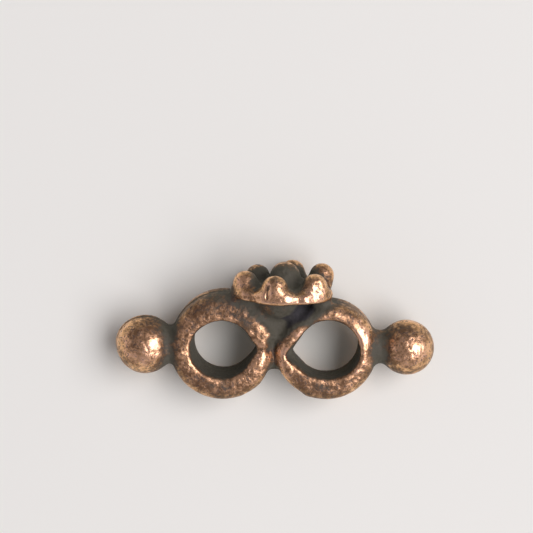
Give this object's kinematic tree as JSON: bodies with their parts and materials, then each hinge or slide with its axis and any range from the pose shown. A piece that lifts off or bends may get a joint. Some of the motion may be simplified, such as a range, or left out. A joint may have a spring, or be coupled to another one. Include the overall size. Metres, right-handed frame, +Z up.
{
  "type": "spacer bar",
  "caption": "Cast metal spacer bar that keeps strands of beads apart, with teardrop strand holes side by side, a small flower on one edge and a ball at each end.",
  "frame": {"origin": "centre of the bounding box's footprint, on the surface the bar lies on", "axes": "+X along the bar, +Y toward the flower's edge, +Z up from the surface toward the open front of the strand holes; the bar lies on its back, so the holes lean 12.9 degrees from +Z toward -Y"},
  "size_m": [0.02, 0.0088, 0.0061],
  "materials": {
    "antique_copper": "antiqued copper plate over a cast base metal: bright copper on the high places, dark brown to black in the hollows"
  },
  "bodies": {
    "root": {"spacer_bar": "antique_copper"}
  },
  "joints": []
}
